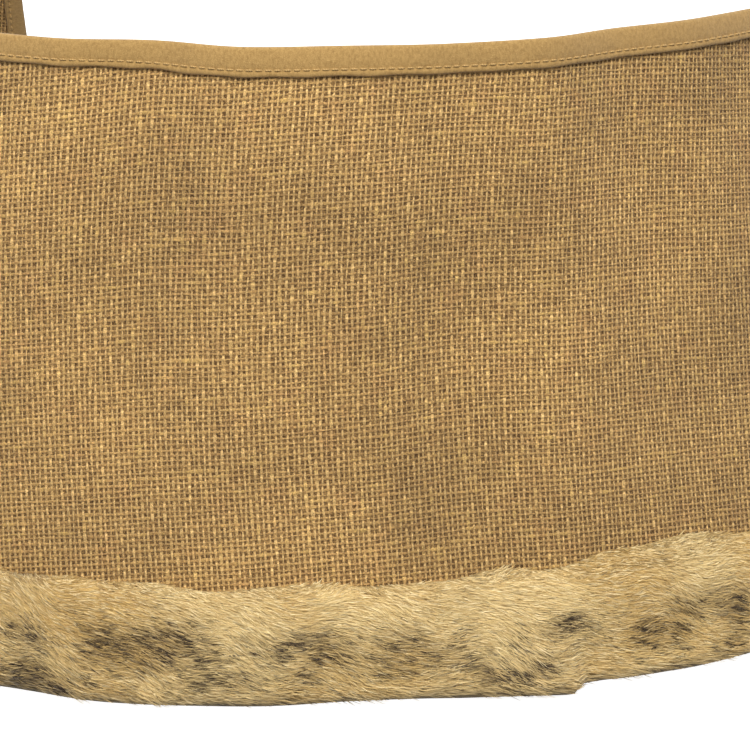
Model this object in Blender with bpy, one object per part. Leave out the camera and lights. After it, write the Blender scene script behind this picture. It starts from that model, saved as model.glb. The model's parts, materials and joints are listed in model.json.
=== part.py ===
"""Standing tree skirt: a cone-shaped band of burlap that opens at the back.

Three burlap panels are joined by two upright seams. Felt binding is folded over the top edge
and the two ends, and a strip of faux fur covers the lower edge. Hook and loop strips close
the two ends, which lap over each other when both side wings swing in.
Z is up, the front faces -Y, and the origin is on the floor at the middle of the outline.
"""

from math import cos, degrees, pi, radians, sin, tan

import bmesh
import bpy
from mathutils import Vector

# The whole band, in metres and degrees. Azimuths run from the front, positive to the right.
TOP_RADIUS = 0.300
BAND_DROP = 0.276            # top fold to lowest fur, down the slope
FLARE = radians(16.0)        # slope of the band from upright
SEAM_AZIMUTH = 66.0          # each upright seam, left and right of the front
LEFT_END = -154.0
RIGHT_END = 120.5
STATION_STEP = 2.0           # degrees between cross-sections

# Cloth thicknesses and the clearance kept between neighbours.
BURLAP = 0.0015
FELT = 0.0012
TAPE = 0.0011
CLEARANCE = 0.0003

# Edge finishes.
BINDING_WIDTH = 0.0127
STITCH_INSET = 0.0029        # stitch line above the binding's lower edge
THREAD = 0.0007
FUR_HEIGHT = 0.0485
FUR_PILE = 0.0095
FLOOR_CONTACT = 0.0050       # width of pile that presses flat on the floor
BURLAP_HEM = 0.0075          # burlap stops this far above the lowest fur
FACING_WIDTH = 0.030
SEAM_TAPE_WIDTH = 0.012

# Closure: the left end laps over the outside of the right end.
LAP = 0.060                  # bare length at the right end, with no fur on it
STRIP_LENGTH = 0.050
STRIP_HEIGHT = 0.025
STRIP_INSET = 0.007          # strip end to cloth end
STRIP_THICKNESS = 0.0016
UPPER_STRIP_DROP = 0.0750    # middle of the upper strips, down from the top fold
LOWER_STRIP_RISE = 0.0625    # middle of the lower strips, up from the fur

# Soft folds in the standing cloth: azimuth of the middle, half width in degrees, and how far
# the cloth stands out of the plain cone there at its top, half way down and at the floor.
FOLDS = (
    (-42.0, 11.0, 0.0010, -0.0020, 0.0030),
    (-27.0, 9.0, 0.0020, 0.0015, 0.0000),
    (-18.0, 8.0, 0.0010, -0.0010, -0.0030),
    (-10.0, 8.0, -0.0055, -0.0020, 0.0030),
    (-2.0, 8.0, 0.0030, 0.0030, 0.0015),
    (6.0, 8.0, 0.0005, 0.0025, -0.0030),
    (14.0, 8.0, 0.0025, -0.0035, 0.0000),
    (22.0, 8.0, 0.0030, 0.0015, 0.0015),
    (30.0, 8.0, -0.0025, -0.0010, -0.0005),
    (38.0, 8.0, 0.0000, 0.0020, 0.0025),
    (50.0, 10.0, 0.0015, 0.0000, 0.0035),
    (-88.0, 14.0, 0.0025, 0.0030, 0.0050),
    (-110.0, 12.0, -0.0025, -0.0030, -0.0045),
    (-132.0, 12.0, 0.0020, 0.0030, 0.0040),
    (86.0, 12.0, 0.0020, 0.0030, 0.0045),
    (104.0, 10.0, -0.0020, -0.0030, -0.0040),
)

HALF_BURLAP = BURLAP / 2
CLOTH_FACE = HALF_BURLAP + CLEARANCE           # nearest a covering piece comes to mid-burlap
BINDING_FACE = CLOTH_FACE + FELT
BURLAP_TOP = FELT + CLEARANCE
BURLAP_BOTTOM = BAND_DROP - BURLAP_HEM
FUR_START = BAND_DROP - FUR_HEIGHT
STRIP_DROPS = {"upper": UPPER_STRIP_DROP, "lower": FUR_START - LOWER_STRIP_RISE}
COLOURS = {
    "burlap": (0.420, 0.240, 0.090),
    "felt": (0.480, 0.300, 0.110),
    "thread": (0.560, 0.380, 0.170),
    "fur": (0.560, 0.410, 0.200),
    "tape": (0.360, 0.230, 0.100),
    "fastener": (0.500, 0.360, 0.190),
}
ROUGHNESS = {"burlap": 0.95, "felt": 0.90, "thread": 0.60, "fur": 0.85, "tape": 0.90, "fastener": 0.80}


def material(finish):
    """The Principled material of one finish, made once."""
    made = bpy.data.materials.get(finish)
    if made:
        return made
    made = bpy.data.materials.new(finish)
    made.use_nodes = True
    shader = made.node_tree.nodes["Principled BSDF"]
    shader.inputs["Base Color"].default_value = (*COLOURS[finish], 1.0)
    shader.inputs["Roughness"].default_value = ROUGHNESS[finish]
    shader.inputs["Metallic"].default_value = 0.0
    return made


def fold_depth(azimuth, drop):
    """How far the standing cloth stands out of the plain cone at this place."""
    share = drop / BAND_DROP
    depth = 0.0
    for centre, half_width, at_top, half_way, at_floor in FOLDS:
        away = abs(azimuth - centre) / half_width
        if away < 1.0:
            rounded = 0.5 + 0.5 * cos(pi * away)
            upper = at_top * (1.0 - share) * (1.0 - 2.0 * share)
            middle = half_way * 4.0 * share * (1.0 - share)
            lower = at_floor * share * (2.0 * share - 1.0)
            depth += rounded * (upper + middle + lower)
    return depth


def band_point(azimuth, drop, offset):
    """A point of the band: down the slope by drop, and offset outward from mid-burlap."""
    reach = TOP_RADIUS + drop * sin(FLARE) + offset * cos(FLARE) + fold_depth(azimuth, drop)
    height = (BAND_DROP - drop) * cos(FLARE) + offset * sin(FLARE)
    turn = radians(azimuth)
    return Vector((reach * sin(turn), -reach * cos(turn), height))


def past_edge(edge, run, drop):
    """The azimuth that lies run metres round the band from an upright edge."""
    return edge + degrees(run / (TOP_RADIUS + drop * sin(FLARE)))


def sweep(name, finish, rings):
    """One closed body through a row of rings, each ring one face's points and then the other's."""
    mesh = bpy.data.meshes.new(name)
    shape = bmesh.new()
    rows = [[shape.verts.new(point) for point in ring] for ring in rings]
    for here, there in zip(rows, rows[1:]):
        for k in range(len(here)):
            after = (k + 1) % len(here)
            shape.faces.new((here[k], here[after], there[after], there[k]))
    for ring in (rows[0], rows[-1]):
        for k in range(len(ring) // 2 - 1):
            shape.faces.new((ring[k], ring[k + 1], ring[-2 - k], ring[-1 - k]))
    bmesh.ops.recalc_face_normals(shape, faces=shape.faces)
    shape.to_mesh(mesh)
    shape.free()
    mesh.materials.append(material(finish))
    mesh.shade_smooth()
    mesh.set_sharp_from_angle(angle=radians(40.0))
    piece = bpy.data.objects.new(name, mesh)
    bpy.context.collection.objects.link(piece)
    return piece


def run_round(name, finish, start, end, profile):
    """A piece of constant (drop, offset) profile that runs round the band between azimuths."""
    count = max(2, round(abs(end - start) / STATION_STEP))
    stations = [start + (end - start) * k / count for k in range(count + 1)]
    rings = [[band_point(at, drop, offset) for drop, offset in profile] for at in stations]
    return sweep(name, finish, rings)


def run_down(name, finish, edge, drops, profile):
    """A piece of constant (run, offset) profile that runs down the slope beside an edge."""
    rings = [
        [band_point(past_edge(edge, run, drop), drop, offset) for run, offset in profile]
        for drop in drops
    ]
    return sweep(name, finish, rings)


def spread(first, last, count):
    """Evenly spaced values, both ends included."""
    return [first + (last - first) * k / (count - 1) for k in range(count)]


def ring_of(face, back):
    """A closed profile from the points of one face and the matching points of its back."""
    return face + back[::-1]


def slab(run, low, high):
    """The profile of a flat strip with points at each run, and faces at low and high offset."""
    return ring_of([(at, low) for at in run], [(at, high) for at in run])


def folded_over(width):
    """The profile of binding folded over an edge: its crown at 0, its legs as long as width."""
    face = [
        (width, BINDING_FACE),
        (width * 0.25, BINDING_FACE),
        (FELT * 0.5, BINDING_FACE * 0.72),
        (0.0, 0.0),
        (FELT * 0.5, -BINDING_FACE * 0.72),
        (width * 0.25, -BINDING_FACE),
        (width, -BINDING_FACE),
    ]
    back = [
        (width, CLOTH_FACE),
        (width * 0.25, CLOTH_FACE),
        (FELT, CLOTH_FACE),
        (FELT, 0.0),
        (FELT, -CLOTH_FACE),
        (width * 0.25, -CLOTH_FACE),
        (width, -CLOTH_FACE),
    ]
    return ring_of(face, back)


def stitch_line(width):
    """The profile of the thread that lies on the binding along its stitch line."""
    at = width - STITCH_INSET
    low = BINDING_FACE + CLEARANCE
    return slab((at - THREAD / 2, at + THREAD / 2), low, low + THREAD)


def fur_profile():
    """The cross-section of the fur strip: flat back, rounded pile, and a flat where it stands."""
    pile = ((0.03, 0.40), (0.18, 0.86), (0.45, 1.00), (0.75, 0.97), (0.93, 0.80))
    tall = BAND_DROP - FUR_START
    face = [(FUR_START + along * tall, CLOTH_FACE + rise * FUR_PILE) for along, rise in pile]
    face.append((BAND_DROP + FLOOR_CONTACT * tan(FLARE), CLOTH_FACE + FLOOR_CONTACT))
    back = [(drop, CLOTH_FACE) for drop in spread(FUR_START, BAND_DROP, len(face))]
    return ring_of(face, back)


def band_section(side, start, end, fur_end):
    """Burlap, binding, binding stitches, fur and facing of one length of the band."""
    hem = spread(BURLAP_BOTTOM - FACING_WIDTH, BURLAP_BOTTOM, 4)
    whole = [BURLAP_TOP, *spread(BINDING_WIDTH, FUR_START, 7), *hem]
    run_round(side + "_burlap_panel", "burlap", start, end, slab(whole, HALF_BURLAP, -HALF_BURLAP))
    run_round(side + "_top_binding", "felt", start, end, folded_over(BINDING_WIDTH))
    run_round(side + "_binding_stitches", "thread", start, end, stitch_line(BINDING_WIDTH))
    run_round(side + "_fur_trim", "fur", start, fur_end, fur_profile())
    run_round(side + "_hem_facing", "tape", start, end, slab(hem, -CLOTH_FACE, -CLOTH_FACE - TAPE))


def seam_tape(side, seam, away):
    """The tape that covers the seam allowance inside, laid towards the wing."""
    low = BINDING_WIDTH + CLEARANCE
    high = BURLAP_BOTTOM - FACING_WIDTH - CLEARANCE
    profile = slab((0.0, away * SEAM_TAPE_WIDTH), -CLOTH_FACE, -CLOTH_FACE - TAPE)
    run_down(side + "_seam_tape", "tape", seam, spread(low, high, 6), profile)


def closing_end(side, edge, inward, strip_side, strip_kind):
    """Binding and stitches down one cloth end, and the fastening strips sewn beside it."""
    drops = spread(BINDING_WIDTH + CLEARANCE, FUR_START - CLEARANCE, 7)
    binding = [(inward * run, offset) for run, offset in folded_over(BINDING_WIDTH)]
    run_down(side + "_end_binding", "felt", edge, drops, binding)
    thread = [(inward * run, offset) for run, offset in stitch_line(BINDING_WIDTH)]
    on_face = [(run, -strip_side * offset) for run, offset in thread]
    run_down(side + "_end_stitches", "thread", edge, drops, on_face)
    low = BINDING_FACE + CLEARANCE
    for place, drop in STRIP_DROPS.items():
        rows = spread(drop - STRIP_HEIGHT / 2, drop + STRIP_HEIGHT / 2, 3)
        first = inward * STRIP_INSET
        last = inward * (STRIP_INSET + STRIP_LENGTH)
        runs = spread(first, last, 5)
        profile = slab(runs, strip_side * low, strip_side * (low + STRIP_THICKNESS))
        run_down(f"{side}_{strip_kind}_strip_{place}", "fastener", edge, rows, profile)


def stand_on_floor(pieces):
    """Moves every mesh so that the origin is on the floor, at the middle of the outline."""
    points = [vertex.co for piece in pieces for vertex in piece.data.vertices]
    low = [min(point[k] for point in points) for k in range(3)]
    high = [max(point[k] for point in points) for k in range(3)]
    shift = Vector((-(low[0] + high[0]) / 2, -(low[1] + high[1]) / 2, -low[2]))
    for piece in pieces:
        for vertex in piece.data.vertices:
            vertex.co += shift
    return shift


def swing_empty(name, azimuth, shift, pieces):
    """An empty on a wing's upright swing axis, which carries the pieces of that wing."""
    reach = TOP_RADIUS - BINDING_FACE * cos(FLARE) - CLEARANCE
    turn = radians(azimuth)
    axis = bpy.data.objects.new(name, None)
    axis.location = Vector((reach * sin(turn), -reach * cos(turn), 0.0)) + shift
    axis.location.z = 0.0
    bpy.context.collection.objects.link(axis)
    bpy.context.view_layer.update()
    for piece in pieces:
        piece.parent = axis
        piece.matrix_parent_inverse = axis.matrix_world.inverted()


for old in list(bpy.data.objects):
    bpy.data.objects.remove(old, do_unlink=True)

GAP_TURN = degrees(CLEARANCE / 2 / TOP_RADIUS)
FRONT_EDGE = SEAM_AZIMUTH - GAP_TURN
WING_EDGE = SEAM_AZIMUTH + GAP_TURN
END_TURN = degrees(BURLAP_TOP / TOP_RADIUS)
BARE_TURN = degrees((LAP + 3 * CLEARANCE) / TOP_RADIUS)

band_section("front", -FRONT_EDGE, FRONT_EDGE, FRONT_EDGE)
band_section("left", -WING_EDGE, LEFT_END + END_TURN, LEFT_END + END_TURN)
band_section("right", WING_EDGE, RIGHT_END - END_TURN, RIGHT_END - BARE_TURN)
seam_tape("left", -WING_EDGE, -1)
seam_tape("right", WING_EDGE, 1)
closing_end("left", LEFT_END, 1, -1, "loop")
closing_end("right", RIGHT_END, -1, 1, "hook")

made = list(bpy.context.collection.objects)
moved = stand_on_floor(made)
for wing, seam in (("left", -SEAM_AZIMUTH), ("right", SEAM_AZIMUTH)):
    swing_empty(wing + "_wing_swing", seam, moved, [p for p in made if p.name.startswith(wing)])
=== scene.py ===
import math

import bpy
import numpy as np
from mathutils import Matrix, Vector
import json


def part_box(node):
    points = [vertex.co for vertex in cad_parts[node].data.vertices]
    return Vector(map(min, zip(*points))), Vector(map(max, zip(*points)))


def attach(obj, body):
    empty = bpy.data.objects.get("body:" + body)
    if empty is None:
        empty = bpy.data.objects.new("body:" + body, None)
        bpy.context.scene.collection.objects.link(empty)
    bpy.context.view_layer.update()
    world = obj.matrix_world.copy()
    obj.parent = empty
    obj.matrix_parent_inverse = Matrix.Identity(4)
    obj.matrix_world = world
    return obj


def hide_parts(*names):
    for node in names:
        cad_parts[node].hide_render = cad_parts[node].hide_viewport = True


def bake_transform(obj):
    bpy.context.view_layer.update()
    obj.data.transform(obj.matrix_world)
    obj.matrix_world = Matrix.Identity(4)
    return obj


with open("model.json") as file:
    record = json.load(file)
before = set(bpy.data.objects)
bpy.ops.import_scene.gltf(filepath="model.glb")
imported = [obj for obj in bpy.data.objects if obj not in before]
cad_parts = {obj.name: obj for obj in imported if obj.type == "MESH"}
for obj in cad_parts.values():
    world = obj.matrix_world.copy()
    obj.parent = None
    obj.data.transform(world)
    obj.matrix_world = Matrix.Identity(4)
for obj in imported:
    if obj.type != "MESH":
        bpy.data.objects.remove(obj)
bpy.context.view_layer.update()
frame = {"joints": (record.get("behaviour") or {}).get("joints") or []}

# ---------------------------------------------------------------- Studio
# A plain white floor and a soft white room, with one broad lamp high above the front.
# The camera stands in front of the skirt, a little above it, and looks slightly to the right.
SEAM_AZIMUTH = 66.0
swings = {joint["name"]: Vector(joint["pos_m"]) for joint in frame["joints"]}
left_axis = swings["left_wing_swing"]
right_axis = swings["right_wing_swing"]
axis_reach = (right_axis.x - left_axis.x) / 2 / math.sin(math.radians(SEAM_AZIMUTH))
ring_centre = Vector((
    (left_axis.x + right_axis.x) / 2,
    left_axis.y + axis_reach * math.cos(math.radians(SEAM_AZIMUTH)),
    0.0,
))

bpy.context.scene.view_settings.view_transform = "Standard"
ROOM_FADE = {"From Min": -0.25, "From Max": 0.35, "To Min": 0.12, "To Max": 0.80}
room = bpy.data.worlds.new("soft_white_room")
room.use_nodes = True
room_nodes = room.node_tree.nodes
room_direction = room_nodes.new("ShaderNodeTexCoord")
room_height = room_nodes.new("ShaderNodeSeparateXYZ")
room_fade = room_nodes.new("ShaderNodeMapRange")
for socket, level in ROOM_FADE.items():
    room_fade.inputs[socket].default_value = level
room.node_tree.links.new(room_direction.outputs["Generated"], room_height.inputs[0])
room.node_tree.links.new(room_height.outputs["Z"], room_fade.inputs["Value"])
room_nodes["Background"].inputs["Color"].default_value = (1.0, 1.0, 1.0, 1.0)
room.node_tree.links.new(room_fade.outputs[0], room_nodes["Background"].inputs["Strength"])
bpy.context.scene.world = room

LAMP_PLACE = Vector((-0.02, -1.5, 2.0))
LAMP_WATTS = 46.0
LAMP_WIDTH = 1.3
lamp_data = bpy.data.lights.new("broad_lamp", "AREA")
lamp_data.energy = LAMP_WATTS
lamp_data.size = LAMP_WIDTH
lamp = bpy.data.objects.new("broad_lamp", lamp_data)
lamp.location = LAMP_PLACE
lamp.rotation_mode = "QUATERNION"
lamp.rotation_quaternion = (ring_centre - LAMP_PLACE).to_track_quat("-Z", "Y")
bpy.context.scene.collection.objects.link(lamp)

FLOOR_HALF = 6.0
FLOOR_GLOW = 0.88  # just enough for the lit floor to be plain white
floor_mesh = bpy.data.meshes.new("studio_floor")
floor_mesh.from_pydata(
    [(x * FLOOR_HALF, y * FLOOR_HALF, 0.0) for x, y in ((-1, -1), (1, -1), (1, 1), (-1, 1))],
    [],
    [(0, 1, 2, 3)],
)
floor = bpy.data.objects.new("studio_floor", floor_mesh)
floor_paint = bpy.data.materials.new("white_floor")
floor_paint.use_nodes = True
floor_shader = floor_paint.node_tree.nodes["Principled BSDF"]
floor_shader.inputs["Base Color"].default_value = (0.9, 0.9, 0.9, 1.0)
floor_shader.inputs["Roughness"].default_value = 0.9
floor_shader.inputs["Specular IOR Level"].default_value = 0.0
floor_shader.inputs["Emission Color"].default_value = (1.0, 1.0, 1.0, 1.0)
floor_shader.inputs["Emission Strength"].default_value = FLOOR_GLOW
floor_mesh.materials.append(floor_paint)
bpy.context.scene.collection.objects.link(floor)
floor.visible_diffuse = False

CAMERA_DISTANCE = 1.715
CAMERA_RISE = math.radians(14.24)
AIM_HEIGHT = 0.13
TURN_RIGHT = math.radians(1.778)
TILT_DOWN = math.radians(3.296)
ROLL = math.radians(0.285)
LENS = 159.5


def turned(first, second, angle):
    """The first direction turned toward the second, and the second turned with it."""
    return (
        first * math.cos(angle) + second * math.sin(angle),
        second * math.cos(angle) - first * math.sin(angle),
    )


forward = Vector((0.0, math.cos(CAMERA_RISE), -math.sin(CAMERA_RISE)))
right = Vector((1.0, 0.0, 0.0))
up = right.cross(forward)
forward, right = turned(forward, right, TURN_RIGHT)
forward, up = turned(forward, up, -TILT_DOWN)
right, up = turned(right, up, ROLL)
camera_data = bpy.data.cameras.new("studio_camera")
camera_data.lens = LENS
camera_data.sensor_width = 36.0
camera_data.clip_start = 0.05
camera_data.clip_end = 50.0
camera = bpy.data.objects.new("studio_camera", camera_data)
camera.matrix_world = Matrix((
    (right.x, up.x, -forward.x, ring_centre.x),
    (right.y, up.y, -forward.y, ring_centre.y - CAMERA_DISTANCE * math.cos(CAMERA_RISE)),
    (right.z, up.z, -forward.z, AIM_HEIGHT + CAMERA_DISTANCE * math.sin(CAMERA_RISE)),
    (0.0, 0.0, 0.0, 1.0),
))
bpy.context.scene.collection.objects.link(camera)
bpy.context.scene.camera = camera

# ---------------------------------------------------------------- Burlap panels
# Three lengths of coarse jute plain weave, cut as a flared band and joined at two seams.
# Every warp and weft yarn rises over and dips under its neighbours in the cloth's own mesh.
# The band hangs in shallow folds. Front panel on the front body; the wing panels stay where they
# are built.
TOP_RADIUS = 0.300
BAND_DROP = 0.276
FLARE = math.radians(16.0)
LEFT_END = -154.0
RIGHT_END = 120.5
BURLAP = 0.0015
FELT = 0.0012
BINDING_WIDTH = 0.0127
CLEARANCE = 0.0003
FUR_HEIGHT = 0.0485
BURLAP_HEM = 0.0075
YARN_PITCH = 0.0023
APEX = TOP_RADIUS / math.sin(FLARE)
CLOTH_FACE = BURLAP / 2 + CLEARANCE
BURLAP_TOP = FELT + CLEARANCE
BURLAP_BOTTOM = BAND_DROP - BURLAP_HEM
FUR_START = BAND_DROP - FUR_HEIGHT
END_TURN = math.degrees(BURLAP_TOP / TOP_RADIUS)
PANELS = {  # the azimuths each length of cloth, felt and tape runs between
    "front": (-SEAM_AZIMUTH, SEAM_AZIMUTH),
    "left": (LEFT_END + END_TURN, -SEAM_AZIMUTH),
    "right": (SEAM_AZIMUTH, RIGHT_END - END_TURN),
}
HINGE_TURN = 20.0  # degrees of a wing beside its seam
FOLDS = (  # azimuth, half width in degrees, depth at the top, half way down, at the floor
    (-42.0, 11.0, 0.0010, -0.0020, 0.0030),
    (-27.0, 9.0, -0.0005, 0.0015, 0.0000),
    (-18.0, 8.0, 0.0010, -0.0010, -0.0030),
    (-10.0, 8.0, -0.0055, -0.0020, 0.0030),
    (-2.0, 8.0, 0.0030, 0.0030, 0.0015),
    (6.0, 8.0, 0.0005, 0.0025, -0.0030),
    (14.0, 8.0, 0.0025, -0.0035, 0.0000),
    (22.0, 8.0, 0.0030, 0.0015, 0.0015),
    (30.0, 8.0, -0.0025, -0.0010, 0.0040),
    (38.0, 8.0, 0.0000, 0.0020, 0.0025),
    (50.0, 10.0, 0.0015, 0.0000, 0.0035),
    (-88.0, 14.0, 0.0025, 0.0030, 0.0050),
    (-110.0, 12.0, -0.0025, -0.0030, -0.0045),
    (-132.0, 12.0, 0.0020, 0.0030, 0.0040),
    (86.0, 12.0, 0.0020, 0.0030, 0.0045),
    (104.0, 10.0, -0.0020, -0.0030, -0.0040),
)
END_PULL = 5.0  # degrees by which the left end is drawn back at its top
END_PULL_FROM = -132.0  # the azimuth where the pull begins
END_PULL_DROP = 0.130  # and the drop where it has died away
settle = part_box("front_burlap_panel")[1].z - (
    (BAND_DROP - BURLAP_TOP) * math.cos(FLARE) + BURLAP / 2 * math.sin(FLARE)
)


def reach_at(drop):
    """How far the plain band is from its axis at each drop."""
    return TOP_RADIUS + drop * math.sin(FLARE)


FOOT_RADIUS = reach_at(BAND_DROP)


def fold_depth(azimuth, drop):
    """How far the folds push the band out at each azimuth and drop."""
    share = drop / BAND_DROP
    depth = np.zeros(np.broadcast(azimuth, drop).shape)
    for centre, half_width, at_top, half_way, at_floor in FOLDS:
        away = np.minimum(np.abs(azimuth - centre) / half_width, 1.0)
        rounded = 0.5 + 0.5 * np.cos(np.pi * away)
        depth += rounded * (
            at_top * (1 - share) * (1 - 2 * share)
            + half_way * 4 * share * (1 - share)
            + at_floor * share * (2 * share - 1)
        )
    return depth


def on_band(azimuth, drop, offset):
    """Points on the flared band: degrees round it, metres down its slope, metres out from it."""
    azimuth, drop, offset = np.broadcast_arrays(
        np.asarray(azimuth, float), np.asarray(drop, float), np.asarray(offset, float)
    )
    reach = reach_at(drop) + offset * math.cos(FLARE) + fold_depth(azimuth, drop)
    near_end = np.clip((END_PULL_FROM - azimuth) / (END_PULL_FROM - LEFT_END), 0.0, 1.2)
    pulled = END_PULL * near_end**2 * np.clip(1 - drop / END_PULL_DROP, 0.0, 1.0)
    height = (BAND_DROP - drop) * math.cos(FLARE) + offset * math.sin(FLARE) + settle
    turn = np.radians(azimuth + pulled)
    sideways = ring_centre.x + reach * np.sin(turn)
    return np.stack([sideways, ring_centre.y - reach * np.cos(turn), height], axis=-1)


def past_edge(edge, run, drop):
    """The azimuth that lies a run in metres past an upright edge."""
    return edge + np.degrees(run / reach_at(drop))


def waves(x, y, seed, count, reach_x, reach_y):
    """A smooth uneven surface from -1 to 1, with waves about reach_x by reach_y long."""
    draw = np.random.default_rng(seed)
    total = np.zeros(np.broadcast(x, y).shape)
    for _ in range(count):
        turns_x = draw.uniform(0.6, 1.6) / reach_x * draw.choice((-1, 1))
        turns_y = draw.uniform(0.3, 1.2) / reach_y
        total += np.sin(2 * np.pi * (x * turns_x + y * turns_y + draw.uniform()))
    return total / math.sqrt(count) / 1.4


def sheet_mesh(name, points, faces, maps, finish):
    """An object from arrays of points and faces, with its maps given corner by corner."""
    mesh = bpy.data.meshes.new(name)
    mesh.vertices.add(len(points))
    mesh.vertices.foreach_set("co", np.ascontiguousarray(points, np.float32).ravel())
    mesh.loops.add(faces.size)
    mesh.loops.foreach_set("vertex_index", np.ascontiguousarray(faces, np.int32).ravel())
    mesh.polygons.add(len(faces))
    starts = np.arange(0, faces.size, faces.shape[1], dtype=np.int32)
    mesh.polygons.foreach_set("loop_start", starts)
    mesh.update(calc_edges=True)
    mesh.shade_smooth()
    for map_name, corners in maps.items():
        layer = mesh.uv_layers.new(name=map_name)
        layer.data.foreach_set("uv", np.ascontiguousarray(corners, np.float32).ravel())
    mesh.materials.append(finish)
    piece = bpy.data.objects.new(name, mesh)
    bpy.context.scene.collection.objects.link(piece)
    return piece


def grid_faces(rows, columns, closed=None, copies=1):
    """Faces of grids of points. closed joins the last row (1) or column (2) to the first."""
    index = np.arange(copies * rows * columns).reshape(copies, rows, columns)
    if closed:
        index = np.concatenate([index, index.take([0], axis=closed)], axis=closed)
    corners = [index[:, :-1, :-1], index[:, 1:, :-1], index[:, 1:, 1:], index[:, :-1, 1:]]
    return np.stack(corners, axis=-1).reshape(-1, 4)


def swing_or_ride(piece, side):
    """Front pieces ride on the front; wing pieces have their placing laid into their points."""
    if side == "front":
        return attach(piece, "front")
    way = -1 if side == "left" else 1
    seam = on_band(way * SEAM_AZIMUTH, BAND_DROP / 2, 0.0)
    settled = on_band(way * (SEAM_AZIMUTH + HINGE_TURN), BAND_DROP / 2, 0.0)
    settled[2] = seam[2]
    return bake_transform(piece)


def maths(operation, swapped=False):
    """A method of Shade that adds one Math node; swapped puts the other term first."""

    def method(self, *others):
        terms = (*others, self) if swapped else (self, *others)
        return self.node("ShaderNodeMath", {"operation": operation}, dict(enumerate(terms)))

    return method


class Shade:
    """One output of a finish's nodes. Sums on it add Math nodes, node() adds any other."""

    __add__ = maths("ADD")
    __mul__ = __rmul__ = maths("MULTIPLY")
    __sub__ = maths("SUBTRACT")
    __rsub__ = maths("SUBTRACT", swapped=True)
    __truediv__ = maths("DIVIDE")
    __gt__ = maths("GREATER_THAN")
    __lt__ = maths("LESS_THAN")
    remainder = maths("FLOORED_MODULO")
    whole = maths("FLOOR")
    abs = maths("ABSOLUTE")
    root = maths("SQRT")
    cosine = maths("COSINE")
    sine = maths("SINE")
    max = maths("MAXIMUM")

    def __init__(self, tree, socket=None):
        self.tree = tree
        self.socket = socket

    def node(self, kind, settings, sockets, output=0):
        made = self.tree.nodes.new(kind)
        for name, value in settings.items():
            setattr(made, name, value)
        for name, value in sockets.items():
            if isinstance(value, Shade):
                self.tree.links.new(value.socket, made.inputs[name])
            else:
                made.inputs[name].default_value = value
        return Shade(self.tree, made.outputs[output])

    def spread(self, low, high, new_low=0.0, new_high=1.0):
        """Eases from new_low to new_high as this goes from low to high."""
        return self.node(
            "ShaderNodeMapRange",
            {"interpolation_type": "SMOOTHSTEP"},
            {0: self, 1: low, 2: high, 3: new_low, 4: new_high},
        )

    def mix(self, first, second):
        """The first colour where this is 0, the second where it is 1."""
        return self.node(
            "ShaderNodeMix", {"data_type": "RGBA"}, {0: self, 6: first, 7: second}, output=2
        )

    def lit(self, strength):
        """This colour made lighter or darker."""
        return self.node(
            "ShaderNodeVectorMath", {"operation": "SCALE"}, {0: self, "Scale": strength}
        )

    def place(self, x, y, z=0.0):
        return self.node("ShaderNodeCombineXYZ", {}, {0: x, 1: y, 2: z})

    def map(self, name):
        """The two numbers of one of the piece's maps."""
        read = self.node("ShaderNodeUVMap", {"uv_map": name}, {})
        split = self.node("ShaderNodeSeparateXYZ", {}, {0: read})
        return split, Shade(self.tree, split.socket.node.outputs[1])

    def noise(self, vector, scale, detail=2.0, roughness=0.5):
        return self.node(
            "ShaderNodeTexNoise",
            {},
            {"Vector": vector, "Scale": scale, "Detail": detail, "Roughness": roughness},
        )

    def solid_place(self):
        """Where the point is on the resting piece, in metres."""
        return self.node("ShaderNodeTexCoord", {}, {}, output=3)


def srgb(red, green, blue):
    """A colour given in the usual 0 to 255 steps, as light."""
    steps = [value / 255 for value in (red, green, blue)]
    light = [s / 12.92 if s <= 0.04045 else ((s + 0.055) / 1.055) ** 2.4 for s in steps]
    return (*light, 1.0)


def finish_of(name, build):
    """A cloth finish. build gives its colour, roughness, height, bump depth and sheen."""
    finish = bpy.data.materials.new(name)
    finish.use_nodes = True
    tree = finish.node_tree
    shader = tree.nodes["Principled BSDF"]
    colour, roughness, height, depth, sheen = build(Shade(tree))
    bump = Shade(tree).node(
        "ShaderNodeBump", {}, {"Strength": 1.0, "Distance": depth, "Height": height}
    )
    tree.links.new(colour.socket, shader.inputs["Base Color"])
    tree.links.new(bump.socket, shader.inputs["Normal"])
    shader.inputs["Roughness"].default_value = roughness
    shader.inputs["Specular IOR Level"].default_value = 0.22
    shader.inputs["Sheen Weight"].default_value = sheen
    shader.inputs["Sheen Roughness"].default_value = 0.5
    return finish


JUTE_PALE = srgb(216, 178, 116)
JUTE_TAN = srgb(186, 148, 90)
JUTE_BROWN = srgb(156, 120, 70)
JUTE_SHADOW = srgb(84, 58, 28)
JUTE_PALE_PIT_SHADE = srgb(150, 114, 66)
JUTE_REDDISH = srgb(180, 134, 84)
JUTE_STRAW = srgb(202, 166, 94)
YARN_SLUB = 0.48  # how much slubs and stray fibres widen a yarn, and how thin it is without
YARN_FUZZ = 0.32
YARN_THIN = -0.175
CRIMP = 0.45  # a yarn's rise over its neighbour, beside its own roundness
ROUNDNESS = 0.55
PIT_LEVEL = -0.6


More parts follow.
